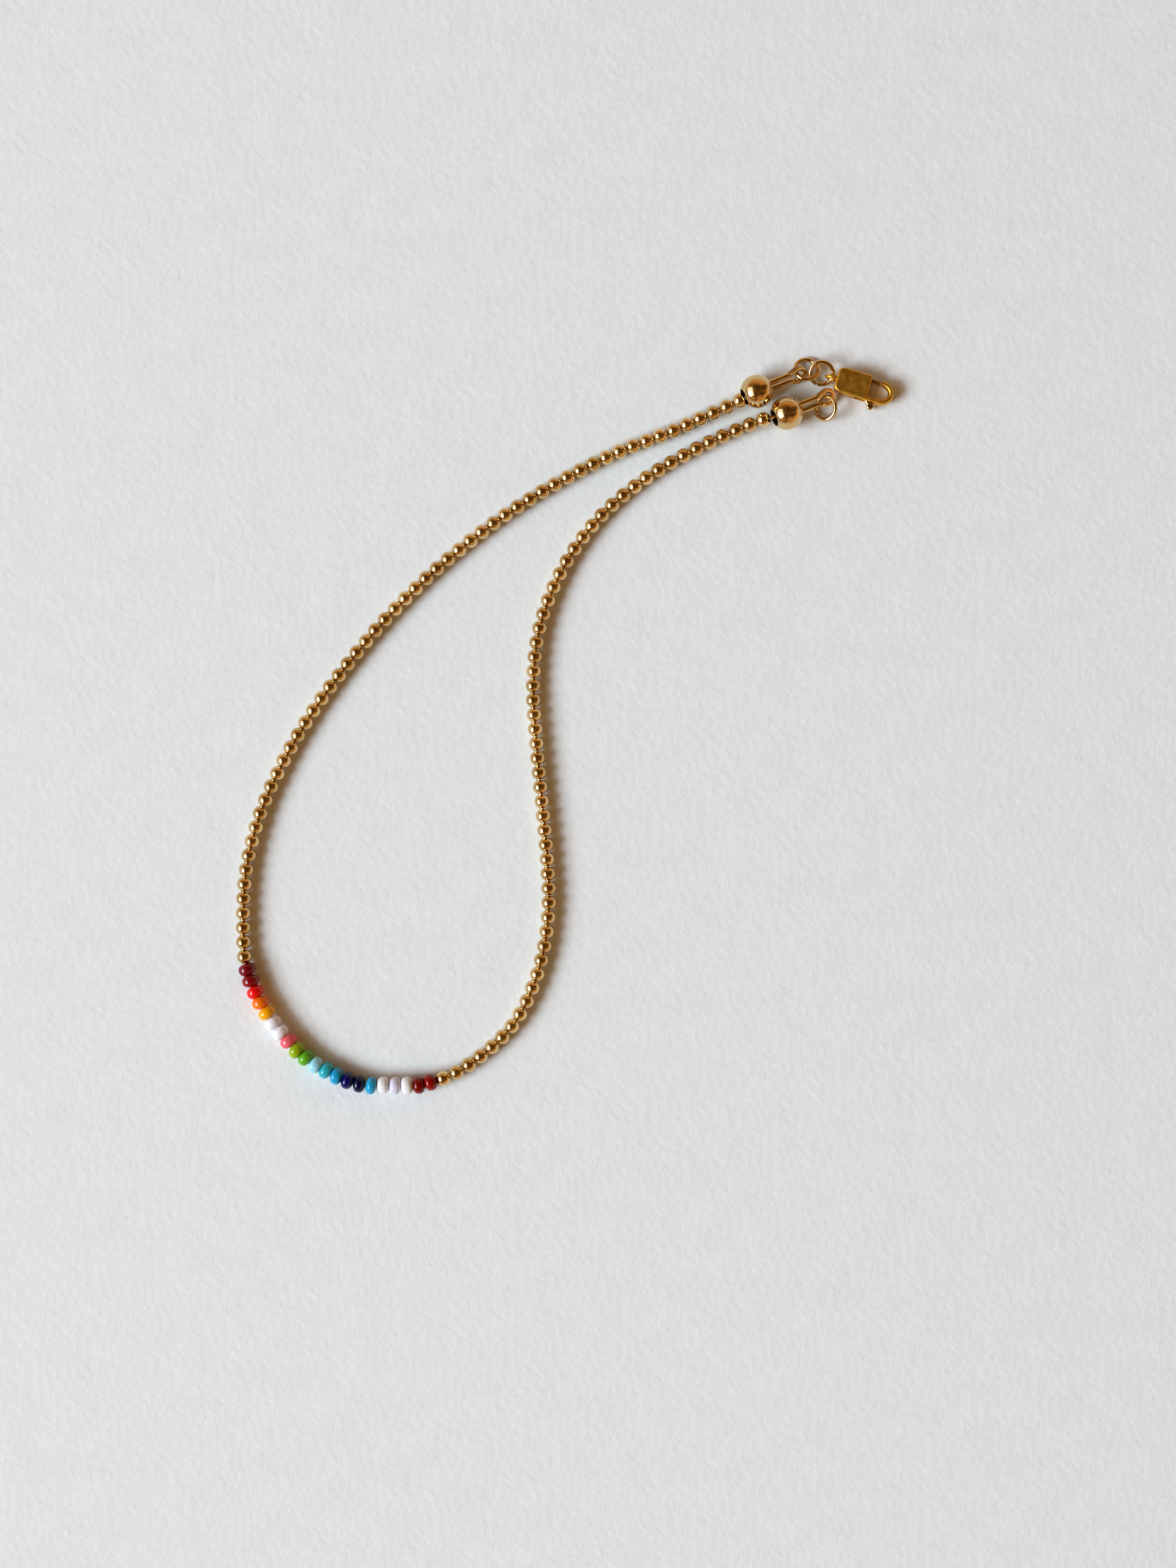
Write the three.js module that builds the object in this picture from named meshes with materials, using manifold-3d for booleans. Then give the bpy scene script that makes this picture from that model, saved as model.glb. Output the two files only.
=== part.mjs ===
// Beaded anklet lying open on a table: two strings of gold beads, a row of coloured glass beads,
// an end bead, wire guard and jump ring at each end, and a lobster clasp. Millimetres, +Z up.
import * as THREE from 'three';
import { mergeVertices } from 'three/addons/utils/BufferGeometryUtils.js';
import Module from 'manifold-3d';

const wasm = await Module();
wasm.setup();

// Driving sizes of the beads
const GOLD_BEAD = { diameter: 2.0, sides: 10, shoulder: 0.8, shoulderAt: 0.19 };
const GLASS_BEAD = { diameter: 2.3, length: 1.46, pitch: 1.575, hole: 0.84, sides: 10 };
const GLASS_ROUNDING = { mouth: 0.62, rim: 0.66, shoulder: 0.92, shoulderAt: 0.6 };
const END_BEAD = { diameter: 4.4, hole: 2.16, sides: 16, bands: 8 };
const WIRE = { diameter: 0.5, sides: 6, gap: 0.3, stopsShort: 0.3 };

// Beads on each string, and how far the first bead sits from the middle of its end bead
const LEFT_STRING = { beads: 56, firstBead: 2.55 };
const RIGHT_STRING = { beads: 57, firstBead: 3.2 };

// Where the end beads rest
const UPPER_END = { x: 25.4, y: 43.9, z: END_BEAD.diameter / 2 };
const LOWER_END = { x: 29.35, y: 41.05, z: END_BEAD.diameter / 2 };

// Height of a string that lies on the table
const GOLD_LIES = GOLD_BEAD.diameter / 2 + 0.02;
const GLASS_LIES = GLASS_BEAD.diameter / 2 + 0.02;

// The string's way round the table, from the upper end bead to the lower one: x, y, z
const ROUTE = [
  [UPPER_END.x, UPPER_END.y, UPPER_END.z],
  [23.2, 42.7, 2.3], [21.4, 41.9, 1.9], [17.8, 40.4, 1.12], [14.2, 38.8, GOLD_LIES],
  [7.0, 36.0, GOLD_LIES], [0.2, 32.6, GOLD_LIES], [-6.5, 28.6, GOLD_LIES], [-12.8, 24.0, GOLD_LIES],
  [-18.6, 19.0, GOLD_LIES], [-24.0, 13.5, GOLD_LIES], [-28.9, 7.6, GOLD_LIES], [-33.4, 1.4, GOLD_LIES],
  [-37.2, -5.2, GOLD_LIES], [-40.2, -12.2, GOLD_LIES], [-41.9, -19.6, GOLD_LIES],
  [-42.2, -27.3, GOLD_LIES], [-41.6, -32.5, GLASS_LIES], [-38.8, -38.3, GLASS_LIES],
  [-35.0, -42.8, GLASS_LIES], [-29.9, -46.2, GLASS_LIES], [-23.9, -47.4, GLASS_LIES],
  [-17.4, -46.9, GLASS_LIES], [-12.4, -44.6, GOLD_LIES], [-6.7, -39.4, GOLD_LIES],
  [-3.4, -32.5, GOLD_LIES], [-2.0, -24.9, GOLD_LIES], [-2.2, -17.3, GOLD_LIES], [-2.9, -9.7, GOLD_LIES],
  [-3.6, -2.1, GOLD_LIES], [-4.0, 5.6, GOLD_LIES], [-3.1, 13.2, GOLD_LIES], [-0.2, 20.6, GOLD_LIES],
  [4.3, 27.0, GOLD_LIES], [10.2, 32.2, GOLD_LIES], [16.9, 36.2, 1.05], [22.5, 38.8, 1.3],
  [26.2, 40.2, 1.95],
  [LOWER_END.x, LOWER_END.y, LOWER_END.z],
];

// The coloured beads in order, with the few degrees that each one leans on the wire
const GLASS_BEADS = [
  { name: 'crimson_1', colour: 0x8c0f24, lean: 2 },
  { name: 'crimson_2', colour: 0x960f22, lean: -1 },
  { name: 'scarlet', colour: 0xe81512, lean: 1 },
  { name: 'orange', colour: 0xf79a1e, lean: -2 },
  { name: 'golden_yellow', colour: 0xf9b50f, lean: 1 },
  { name: 'pearl_1', colour: 0xe6dce2, lean: -1 },
  { name: 'pearl_2', colour: 0xe3dae2, lean: 1 },
  { name: 'coral_pink', colour: 0xe8667a, lean: -2 },
  { name: 'lime', colour: 0x96bf24, lean: 1 },
  { name: 'leaf_green', colour: 0x6fb32b, lean: -1 },
  { name: 'ice_blue', colour: 0xa9dcec, lean: 1 },
  { name: 'turquoise', colour: 0x3fb0c4, lean: -1 },
  { name: 'cerulean', colour: 0x2496c8, lean: 1 },
  { name: 'navy_1', colour: 0x0b1a74, lean: -1 },
  { name: 'navy_2', colour: 0x0a1350, lean: 1 },
  { name: 'sky_blue', colour: 0x41a9d4, lean: -1 },
  { name: 'white_1', colour: 0xe9e8e9, lean: 1 },
  { name: 'lilac', colour: 0xd9d3e2, lean: -1 },
  { name: 'white_2', colour: 0xeae9ea, lean: 1 },
  { name: 'dark_red_1', colour: 0xa30c12, lean: -1 },
  { name: 'dark_red_2', colour: 0xa80d14, lean: 1 },
];

// Findings at the two ends
const END_BEADS = [
  { name: 'end_bead_upper', end: UPPER_END, turn: 24.5, tilt: 6 },
  { name: 'end_bead_lower', end: LOWER_END, turn: 21, tilt: 10 },
];
const GUARD = { tube: 0.72, legGap: 1.1, legs: [1.3, 4.4], sides: 8, steps: 36 };
const GUARD_LOOP = { at: 5.75, radius: 1.0, opens: 126, step: 36 };
const GUARDS = [
  { name: 'wire_guard_upper', end: UPPER_END, along: 0.25, turn: 23, slope: -8, roll: 50 },
  { name: 'wire_guard_lower', end: LOWER_END, along: 0, turn: 22.5, slope: -8, roll: 40 },
];
const RING = { diameter: 3.6, wire: 0.58, sides: 6, segments: 16 };
const RINGS = [
  { name: 'jump_ring_guard', x: 32.05, y: 47.0, z: 1.0, leanX: -24, leanY: 2.5 },
  { name: 'jump_ring_clasp', x: 34.0, y: 46.45, z: 1.2, leanX: 23, leanY: -7 },
  { name: 'jump_ring_catch', x: 34.52, y: 41.88, z: 1.22, leanX: 5, leanY: -36.7 },
];

// Lobster clasp, in its own frame: x runs from the tail to the hook, y to the gate's side
const CLASP = { x: 38.4, y: 44.95, turn: -17, thickness: 2.2, bevel: 0.2 };
const TAIL = { end: -2.6, halfWidth: 0.95, corner: -2.5, shoulder: -1.55 };
const EYE = { x: -3.11, radius: 0.76, wire: 0.5 };
const CASE = { right: 1.9, halfWidth: 1.65, corner: 0.3 };
const HOOK = { x: 3.4, y: -0.1, outer: [1.9, 1.6], inner: [1.1, 0.88], thickness: 1.6, root: 1.2 };
const PIVOT = { x: 1.0, y: 0, pin: 0.64, pinInset: 0.3, hole: 0.9, hub: 0.72, sides: 12 };
const LEVER = { thickness: 0.8, gateRadius: 2.4, gateIn: 0.7, gateOut: 1.38 };
const KNOB = { angle: -52, armWidth: 0.6, at: 2.8, width: 0.9, thickness: 1.2 };
// The slot that the lever swings in: open below for the knob and to the right for the gate
const SLOT = {
  thickness: 1.1,
  corners: [[0.1, -0.9], [0.6, -2.2], [2.8, -2.2], [2.8, 1.9], [1.2, 1.9], [0.1, 0.85]],
};

// Facets of the clasp's curves
const FACETS = { case: 5, bevel: 2, hook: 10, gate: 4 };

// Colours and finishes
const GOLD = { color: 0xc79a4e, metalness: 1.0, roughness: 0.16 };
const SATIN_GOLD = { color: 0xb98a35, metalness: 1.0, roughness: 0.42 };
const STEEL = { color: 0xb9b2a4, metalness: 1.0, roughness: 0.35 };
const GLASS_FINISH = { metalness: 0.0, roughness: 0.12 };

const radians = THREE.MathUtils.degToRad;
const UP = new THREE.Vector3(0, 0, 1);

const route = new THREE.CatmullRomCurve3(
  ROUTE.map((p) => new THREE.Vector3(...p)), false, 'catmullrom', 0.5,
);
route.arcLengthDivisions = 3000;
const routeLength = route.getLength();

// Point of the route at a distance along it, with the axes (side, tangent, up) there
function stationAt(distance) {
  const t = distance / routeLength;
  const tangent = route.getTangentAt(t);
  const side = new THREE.Vector3().crossVectors(tangent, UP).normalize();
  const up = new THREE.Vector3().crossVectors(side, tangent);
  return { point: route.getPointAt(t), side, tangent, up };
}

// The gold beads share one pitch: what is left of the route after the coloured beads
const glassRow = GLASS_BEADS.length * GLASS_BEAD.pitch;
const goldBeads = LEFT_STRING.beads + RIGHT_STRING.beads;
const goldRow = routeLength - LEFT_STRING.firstBead - RIGHT_STRING.firstBead - glassRow;
const goldPitch = goldRow / (goldBeads - 1);
const leftStart = LEFT_STRING.firstBead - goldPitch / 2;
const glassStart = leftStart + LEFT_STRING.beads * goldPitch;
const rightStart = glassStart + glassRow;

function mesh(name, geometry, finish) {
  const made = new THREE.Mesh(geometry, new THREE.MeshStandardMaterial(finish));
  made.name = name;
  return made;
}

// Booleans on closed geometries
function solid(geometry) {
  const bare = geometry.clone();
  bare.deleteAttribute('normal');
  bare.deleteAttribute('uv');
  const merged = mergeVertices(bare, 1e-4);
  const vertProperties = Float32Array.from(merged.attributes.position.array);
  const triVerts = Uint32Array.from(merged.index.array);
  return new wasm.Manifold(new wasm.Mesh({ numProp: 3, vertProperties, triVerts }));
}

function geometryOf(manifold) {
  const { vertProperties, triVerts } = manifold.getMesh();
  const geometry = new THREE.BufferGeometry();
  geometry.setAttribute('position', new THREE.BufferAttribute(Float32Array.from(vertProperties), 3));
  geometry.setIndex(new THREE.BufferAttribute(Uint32Array.from(triVerts), 1));
  geometry.computeVertexNormals();
  return geometry;
}

function polygon(radius, sides) {
  const step = (2 * Math.PI) / sides;
  const corner = (_, i) => new THREE.Vector2(radius * Math.cos(i * step), radius * Math.sin(i * step));
  return new THREE.Shape(Array.from({ length: sides }, corner));
}

function tube(curve, radius, sides, steps) {
  return new THREE.ExtrudeGeometry(polygon(radius, sides), { steps, extrudePath: curve });
}

function plate(shape, thickness, middle, curveSegments = 1) {
  const settings = { depth: thickness, bevelEnabled: false, curveSegments };
  return new THREE.ExtrudeGeometry(shape, settings).translate(0, 0, middle - thickness / 2);
}

// Gold string: a lathe of the whole row, bead after bead on its wire, bent along the route
function goldString(name, start, beads, leadIn, leadOut) {
  const wire = WIRE.diameter / 2;
  const radius = GOLD_BEAD.diameter / 2;
  const profile = [new THREE.Vector2(0, start - leadIn), new THREE.Vector2(wire, start - leadIn)];
  for (let i = 0; i < beads; i += 1) {
    const from = start + i * goldPitch;
    profile.push(new THREE.Vector2(wire, from));
    profile.push(new THREE.Vector2(radius * GOLD_BEAD.shoulder, from + goldPitch * GOLD_BEAD.shoulderAt));
    profile.push(new THREE.Vector2(radius, from + goldPitch / 2));
    profile.push(new THREE.Vector2(
      radius * GOLD_BEAD.shoulder, from + goldPitch * (1 - GOLD_BEAD.shoulderAt),
    ));
  }
  const end = start + beads * goldPitch;
  profile.push(new THREE.Vector2(wire, end));
  profile.push(new THREE.Vector2(wire, end + leadOut), new THREE.Vector2(0, end + leadOut));
  const geometry = new THREE.LatheGeometry(profile, GOLD_BEAD.sides);
  const position = geometry.attributes.position;
  for (let i = 0; i < position.count; i += 1) {
    const { point, side, up } = stationAt(position.getY(i));
    point.addScaledVector(side, position.getX(i)).addScaledVector(up, position.getZ(i));
    position.setXYZ(i, point.x, point.y, point.z);
  }
  return mesh(name, geometry, GOLD);
}

// Coloured glass bead: a drilled, rounded ring
function glassBead(index, { name, colour, lean }) {
  const radius = GLASS_BEAD.diameter / 2;
  const half = GLASS_BEAD.length / 2;
  const hole = GLASS_BEAD.hole / 2;
  const { mouth, rim, shoulder, shoulderAt } = GLASS_ROUNDING;
  const section = [
    [hole, -mouth], [rim * radius, -1], [shoulder * radius, -shoulderAt], [radius, 0],
    [shoulder * radius, shoulderAt], [rim * radius, 1], [hole, mouth], [hole, -mouth],
  ];
  const profile = section.map(([across, along]) => new THREE.Vector2(across, along * half));
  const number = String(index + 1).padStart(2, '0');
  const finish = { ...GLASS_FINISH, color: colour };
  const geometry = new THREE.LatheGeometry(profile, GLASS_BEAD.sides);
  const bead = mesh(`glass_bead_${number}_${name}`, geometry, finish);
  const { point, side, tangent, up } = stationAt(glassStart + (index + 0.5) * GLASS_BEAD.pitch);
  bead.position.copy(point);
  bead.quaternion.setFromRotationMatrix(new THREE.Matrix4().makeBasis(side, tangent, up));
  bead.rotateZ(radians(lean));
  return bead;
}

// Wire that carries the coloured beads between the two gold strings
function beadingWire() {
  const from = glassStart + WIRE.gap;
  const to = rightStart - WIRE.gap;
  const points = [];
  for (let i = 0; i <= GLASS_BEADS.length; i += 1) {
    points.push(stationAt(THREE.MathUtils.lerp(from, to, i / GLASS_BEADS.length)).point);
  }
  const curve = new THREE.CatmullRomCurve3(points);
  const geometry = tube(curve, WIRE.diameter / 2, WIRE.sides, GLASS_BEADS.length);
  return mesh('beading_wire', geometry, STEEL);
}

// Drilled end bead, its hole along the string
function endBead({ name, end, turn, tilt }) {
  const radius = END_BEAD.diameter / 2;
  const hole = END_BEAD.hole / 2;
  const mouth = Math.asin(hole / radius);
  const profile = [];
  for (let i = 0; i <= END_BEAD.bands; i += 1) {
    const angle = THREE.MathUtils.lerp(mouth, Math.PI - mouth, i / END_BEAD.bands);
    profile.push(new THREE.Vector2(radius * Math.sin(angle), -radius * Math.cos(angle)));
  }
  profile.push(profile[0].clone());
  const bead = mesh(name, new THREE.LatheGeometry(profile, END_BEAD.sides), GOLD);
  bead.position.set(end.x, end.y, end.z);
  bead.rotation.set(radians(-tilt), 0, radians(turn) - Math.PI / 2, 'ZYX');
  return bead;
}

// Wire guard: two legs side by side that open into a loop, one bent tube
function wireGuard({ name, end, along, turn, slope, roll }) {
  const half = GUARD.legGap / 2;
  const [legStart, legEnd] = GUARD.legs;
  const leg = [legStart, (legStart + legEnd) / 2, legEnd].map((x) => [x, half]);
  const loop = [];
  for (let angle = GUARD_LOOP.opens; angle >= -GUARD_LOOP.opens; angle -= GUARD_LOOP.step) {
    const a = radians(angle);
    loop.push([GUARD_LOOP.at + GUARD_LOOP.radius * Math.cos(a), GUARD_LOOP.radius * Math.sin(a)]);
  }
  const back = leg.map(([x, y]) => [x, -y]).reverse();
  const path = [...leg, ...loop, ...back].map(([x, y]) => new THREE.Vector3(x + along, y, 0));
  const geometry = tube(new THREE.CatmullRomCurve3(path), GUARD.tube / 2, GUARD.sides, GUARD.steps);
  const guard = mesh(name, geometry, GOLD);
  guard.position.set(end.x, end.y, end.z);
  guard.rotation.set(radians(roll), radians(-slope), radians(turn), 'ZYX');
  return guard;
}

function jumpRing({ name, x, y, z, leanX, leanY }) {
  const wire = RING.wire / 2;
  const geometry = new THREE.TorusGeometry(RING.diameter / 2 - wire, wire, RING.sides, RING.segments);
  const ring = mesh(name, geometry, GOLD);
  ring.position.set(x, y, z);
  ring.rotation.set(radians(leanX), radians(leanY), 0);
  return ring;
}

// Clasp body: a bevelled case with a hook, an eye at its tail, a slot and a pin for the lever
function claspBody() {
  const middle = CLASP.thickness / 2;
  const { halfWidth, right, corner } = CASE;
  const inset = CLASP.bevel;
  const outline = new THREE.Shape();
  outline.moveTo(TAIL.end + inset, -TAIL.halfWidth + inset);
  outline.quadraticCurveTo(TAIL.corner, -halfWidth + inset, TAIL.shoulder, -halfWidth + inset);
  outline.lineTo(right - corner - inset, -halfWidth + inset);
  outline.lineTo(right - inset, -halfWidth + corner + inset);
  outline.lineTo(right - inset, halfWidth - corner - inset);
  outline.lineTo(right - corner - inset, halfWidth - inset);
  outline.lineTo(TAIL.shoulder, halfWidth - inset);
  outline.quadraticCurveTo(TAIL.corner, halfWidth - inset, TAIL.end + inset, TAIL.halfWidth - inset);
  const caseGeometry = new THREE.ExtrudeGeometry(outline, {
    depth: CLASP.thickness - 2 * inset,
    bevelThickness: inset,
    bevelSize: inset,
    bevelSegments: FACETS.bevel,
    curveSegments: FACETS.case,
  });
  caseGeometry.translate(0, 0, inset);

  const hook = new THREE.Shape();
  const [outerX, outerY] = HOOK.outer;
  const [innerX, innerY] = HOOK.inner;
  hook.moveTo(HOOK.root, HOOK.y - outerY);
  hook.lineTo(HOOK.x, HOOK.y - outerY);
  hook.absellipse(HOOK.x, HOOK.y, outerX, outerY, -Math.PI / 2, Math.PI / 2, false);
  hook.lineTo(HOOK.x, HOOK.y + innerY);
  hook.absellipse(HOOK.x, HOOK.y, innerX, innerY, Math.PI / 2, -Math.PI / 2, true);
  hook.lineTo(HOOK.root, HOOK.y - innerY);

  const eye = new THREE.TorusGeometry(EYE.radius, EYE.wire / 2, RING.sides, RING.segments);
  eye.rotateX(Math.PI / 2).translate(EYE.x, 0, middle);

  const slot = new THREE.Shape(SLOT.corners.map((corner) => new THREE.Vector2(...corner)));
  const pin = plate(polygon(PIVOT.pin / 2, PIVOT.sides), CLASP.thickness - 2 * PIVOT.pinInset, middle);
  pin.translate(PIVOT.x, PIVOT.y, 0);

  const body = solid(caseGeometry)
    .add(solid(plate(hook, HOOK.thickness, middle, FACETS.hook)))
    .add(solid(eye))
    .subtract(solid(plate(slot, SLOT.thickness, middle)))
    .add(solid(pin));
  return mesh('clasp_body', geometryOf(body), SATIN_GOLD);
}

// Clasp lever: the gate that shuts the hook and the knob that opens it, turning on the pin
function claspLever() {
  const middle = CLASP.thickness / 2;
  const gateIn = Math.asin(LEVER.gateIn / LEVER.gateRadius);
  const gateOut = Math.asin(LEVER.gateOut / LEVER.gateRadius);
  const arm = new THREE.Shape();
  arm.moveTo(PIVOT.x, PIVOT.y);
  arm.lineTo(PIVOT.x + PIVOT.hub, LEVER.gateIn);
  arm.absarc(PIVOT.x, PIVOT.y, LEVER.gateRadius, gateIn, gateOut, false);
  arm.lineTo(PIVOT.x + PIVOT.hub, LEVER.gateOut);
  arm.lineTo(PIVOT.x - PIVOT.hub / 2, PIVOT.hub / 2);

  const stem = new THREE.BoxGeometry(KNOB.at, KNOB.armWidth, LEVER.thickness);
  stem.translate(KNOB.at / 2, 0, 0);
  const knob = new THREE.CylinderGeometry(KNOB.width / 2, KNOB.width / 2, KNOB.thickness, PIVOT.sides);
  knob.rotateX(Math.PI / 2).translate(KNOB.at, 0, 0);
  for (const piece of [stem, knob]) {
    piece.rotateZ(radians(KNOB.angle)).translate(PIVOT.x, PIVOT.y, middle);
  }
  const hub = plate(polygon(PIVOT.hub, PIVOT.sides), LEVER.thickness, middle);
  const hole = plate(polygon(PIVOT.hole / 2, PIVOT.sides), CLASP.thickness, middle);
  for (const piece of [hub, hole]) {
    piece.translate(PIVOT.x, PIVOT.y, 0);
  }
  const lever = solid(plate(arm, LEVER.thickness, middle, FACETS.gate))
    .add(solid(hub))
    .add(solid(stem))
    .add(solid(knob))
    .subtract(solid(hole));
  return mesh('clasp_lever', geometryOf(lever), GOLD);
}

const clasp = new THREE.Group();
clasp.position.set(CLASP.x, CLASP.y, 0);
clasp.rotation.z = radians(CLASP.turn);
clasp.add(claspBody(), claspLever());

const leadIn = LEFT_STRING.firstBead - goldPitch / 2 - WIRE.stopsShort;
const leadOut = RIGHT_STRING.firstBead - goldPitch / 2 - WIRE.stopsShort;
const anklet = new THREE.Group();
anklet.add(
  goldString('gold_bead_string_left', leftStart, LEFT_STRING.beads, leadIn, 0),
  goldString('gold_bead_string_right', rightStart, RIGHT_STRING.beads, 0, leadOut),
  beadingWire(),
  ...END_BEADS.map(endBead),
  ...GLASS_BEADS.map((bead, index) => glassBead(index, bead)),
  ...GUARDS.map(wireGuard),
  ...RINGS.map(jumpRing),
  clasp,
);

// The middle of the object's underside is the origin
const box = new THREE.Box3().setFromObject(anklet, true);
const centre = box.getCenter(new THREE.Vector3());
anklet.position.set(-centre.x, -centre.y, -box.min.z);

export default anklet;
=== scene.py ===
"""Looks of a beaded anklet: fine beads, findings and a clasp on the CAD frame, on a pale table."""
import math
import random

import bmesh
import bpy
import numpy as np
from mathutils import Matrix, Vector


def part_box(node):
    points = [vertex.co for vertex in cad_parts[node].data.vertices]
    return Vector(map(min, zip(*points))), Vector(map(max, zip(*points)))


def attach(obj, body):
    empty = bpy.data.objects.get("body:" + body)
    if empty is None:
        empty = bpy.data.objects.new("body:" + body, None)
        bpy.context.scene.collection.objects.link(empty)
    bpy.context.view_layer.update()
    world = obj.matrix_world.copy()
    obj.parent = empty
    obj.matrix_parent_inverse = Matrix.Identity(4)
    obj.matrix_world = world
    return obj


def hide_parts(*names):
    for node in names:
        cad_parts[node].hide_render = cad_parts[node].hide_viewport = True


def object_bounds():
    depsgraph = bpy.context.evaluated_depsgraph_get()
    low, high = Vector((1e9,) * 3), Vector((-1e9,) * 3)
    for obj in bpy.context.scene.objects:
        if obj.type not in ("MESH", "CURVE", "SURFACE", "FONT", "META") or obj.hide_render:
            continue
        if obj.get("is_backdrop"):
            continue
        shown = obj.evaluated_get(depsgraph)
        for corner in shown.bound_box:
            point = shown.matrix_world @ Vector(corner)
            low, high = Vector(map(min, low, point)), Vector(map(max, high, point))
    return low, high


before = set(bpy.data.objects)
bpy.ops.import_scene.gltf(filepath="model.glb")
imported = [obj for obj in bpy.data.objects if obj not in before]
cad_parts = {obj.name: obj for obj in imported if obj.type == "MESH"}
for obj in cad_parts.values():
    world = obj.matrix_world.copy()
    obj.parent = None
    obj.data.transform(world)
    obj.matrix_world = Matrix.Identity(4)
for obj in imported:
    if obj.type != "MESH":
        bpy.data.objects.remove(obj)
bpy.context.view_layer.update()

MM = 0.001
UP = Vector((0.0, 0.0, 1.0))
FULL_TURN = 2.0 * math.pi
dice = random.Random(11)

# Sizes in millimetres, as in the CAD source
GOLD_BEAD = {"radius": 1.0, "hole": 0.34, "lip": 0.07, "bands": 16, "segments": 32}
GLASS_BEAD = {
    "radius": 1.15, "half": 0.815, "pitch": 1.575, "power": 2.5,
    "hole": 0.34, "throat": 0.86, "dip": 0.1, "bands": 22, "segments": 48,
}
END_BEAD = {"radius": 2.2, "hole": 1.08, "lip": 0.12, "bands": 36, "segments": 72}
# The last lip entry is how far the bore's dark material, tarnish and painted shade, runs onto each lip
LIP = {"inset": 0.3, "drop": 0.1, "tarnish_and_shade": 0.2}
WIRE = {"radius": 0.25, "gap": 0.3, "sides": 14, "step": 0.6}
LEFT_STRING = {"beads": 56, "first": 2.55}
RIGHT_STRING = {"beads": 57, "first": 3.2}

# How unevenly the beads sit: degrees, millimetres, and parts of their size
GOLD_JUMBLE = {"lean": 5.0, "tip": 4.0, "size": (0.985, 1.0)}
GLASS_JUMBLE = {"slip": 0.12, "tip": 4.0, "width": (0.98, 1.02), "height": (0.98, 1.0)}

# Heights of the strings on the table, and where the end beads rest
LIFT = 0.02
GOLD_LIES = GOLD_BEAD["radius"] + LIFT
GLASS_LIES = GLASS_BEAD["radius"] + LIFT
UPPER_END = Vector((25.4, 43.9, END_BEAD["radius"]))
LOWER_END = Vector((29.35, 41.05, END_BEAD["radius"]))

# The string's way round the table, from the upper end bead to the lower one: x, y, z
ROUTE = [
    tuple(UPPER_END),
    (23.2, 42.7, 2.3), (21.4, 41.9, 1.9), (17.8, 40.4, 1.12), (14.2, 38.8, GOLD_LIES),
    (7.0, 36.0, GOLD_LIES), (0.2, 32.6, GOLD_LIES), (-6.5, 28.6, GOLD_LIES), (-12.8, 24.0, GOLD_LIES),
    (-18.6, 19.0, GOLD_LIES), (-24.0, 13.5, GOLD_LIES), (-28.9, 7.6, GOLD_LIES), (-33.4, 1.4, GOLD_LIES),
    (-37.2, -5.2, GOLD_LIES), (-40.2, -12.2, GOLD_LIES), (-41.9, -19.6, GOLD_LIES),
    (-42.2, -27.3, GOLD_LIES), (-41.6, -32.5, GLASS_LIES), (-38.8, -38.3, GLASS_LIES),
    (-35.0, -42.8, GLASS_LIES), (-29.9, -46.2, GLASS_LIES), (-23.9, -47.4, GLASS_LIES),
    (-17.4, -46.9, GLASS_LIES), (-12.4, -44.6, GOLD_LIES), (-6.7, -39.4, GOLD_LIES),
    (-3.4, -32.5, GOLD_LIES), (-2.0, -24.9, GOLD_LIES), (-2.2, -17.3, GOLD_LIES), (-2.9, -9.7, GOLD_LIES),
    (-3.6, -2.1, GOLD_LIES), (-4.0, 5.6, GOLD_LIES), (-3.1, 13.2, GOLD_LIES), (-0.2, 20.6, GOLD_LIES),
    (4.3, 27.0, GOLD_LIES), (10.2, 32.2, GOLD_LIES), (16.9, 36.2, 1.05), (22.5, 38.8, 1.3),
    (26.2, 40.2, 1.95),
    tuple(LOWER_END),
]

# Coloured beads in order: name, slot, colour, lean on the wire in degrees, length against the usual one
GLASS_BEADS = [
    ("crimson_1", "glass_crimson", (0.19, 0.0006, 0.006), 7.2, 1.02),
    ("crimson_2", "glass_crimson", (0.24, 0.0006, 0.004), -5.4, 1.0),
    ("scarlet", "glass_scarlet", (0.84, 0.004, 0.003), 5.4, 1.0),
    ("orange", "glass_orange", (0.92, 0.17, 0.003), -7.2, 1.02),
    ("golden_yellow", "glass_golden_yellow", (0.95, 0.40, 0.003), 3.6, 0.98),
    ("pearl_1", "glass_pearl", (0.86, 0.82, 0.84), -3.6, 1.03),
    ("pearl_2", "glass_pearl", (0.85, 0.80, 0.83), 5.4, 1.0),
    ("coral_pink", "glass_coral_pink", (0.80, 0.115, 0.14), -7.2, 1.0),
    ("lime", "glass_lime", (0.29, 0.40, 0.006), 5.4, 1.02),
    ("leaf_green", "glass_leaf_green", (0.11, 0.37, 0.012), -5.4, 1.0),
    ("ice_blue", "glass_ice_blue", (0.34, 0.68, 0.80), 5.4, 1.03),
    ("turquoise", "glass_turquoise", (0.020, 0.40, 0.47), -5.4, 1.0),
    ("cerulean", "glass_cerulean", (0.008, 0.31, 0.56), 5.4, 1.0),
    ("navy_1", "glass_navy", (0.0008, 0.001, 0.09), -5.4, 1.0),
    ("navy_2", "glass_navy", (0.0008, 0.0008, 0.035), 3.6, 0.98),
    ("sky_blue", "glass_sky_blue", (0.012, 0.34, 0.60), -3.6, 0.9),
    ("white_1", "glass_white", (0.84, 0.83, 0.83), 3.6, 1.0),
    ("lilac", "glass_lilac", (0.70, 0.66, 0.80), -3.6, 0.97),
    ("white_2", "glass_white", (0.85, 0.84, 0.84), 3.6, 1.0),
    ("dark_red_1", "glass_dark_red", (0.17, 0.0006, 0.0010), -5.4, 1.0),
    ("dark_red_2", "glass_dark_red", (0.25, 0.0006, 0.0012), 3.6, 1.02),
]

# End beads: name, middle, turn and tilt in degrees
END_BEADS = [("end_bead_upper", UPPER_END, 24.5, 6), ("end_bead_lower", LOWER_END, 21, 10)]

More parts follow.
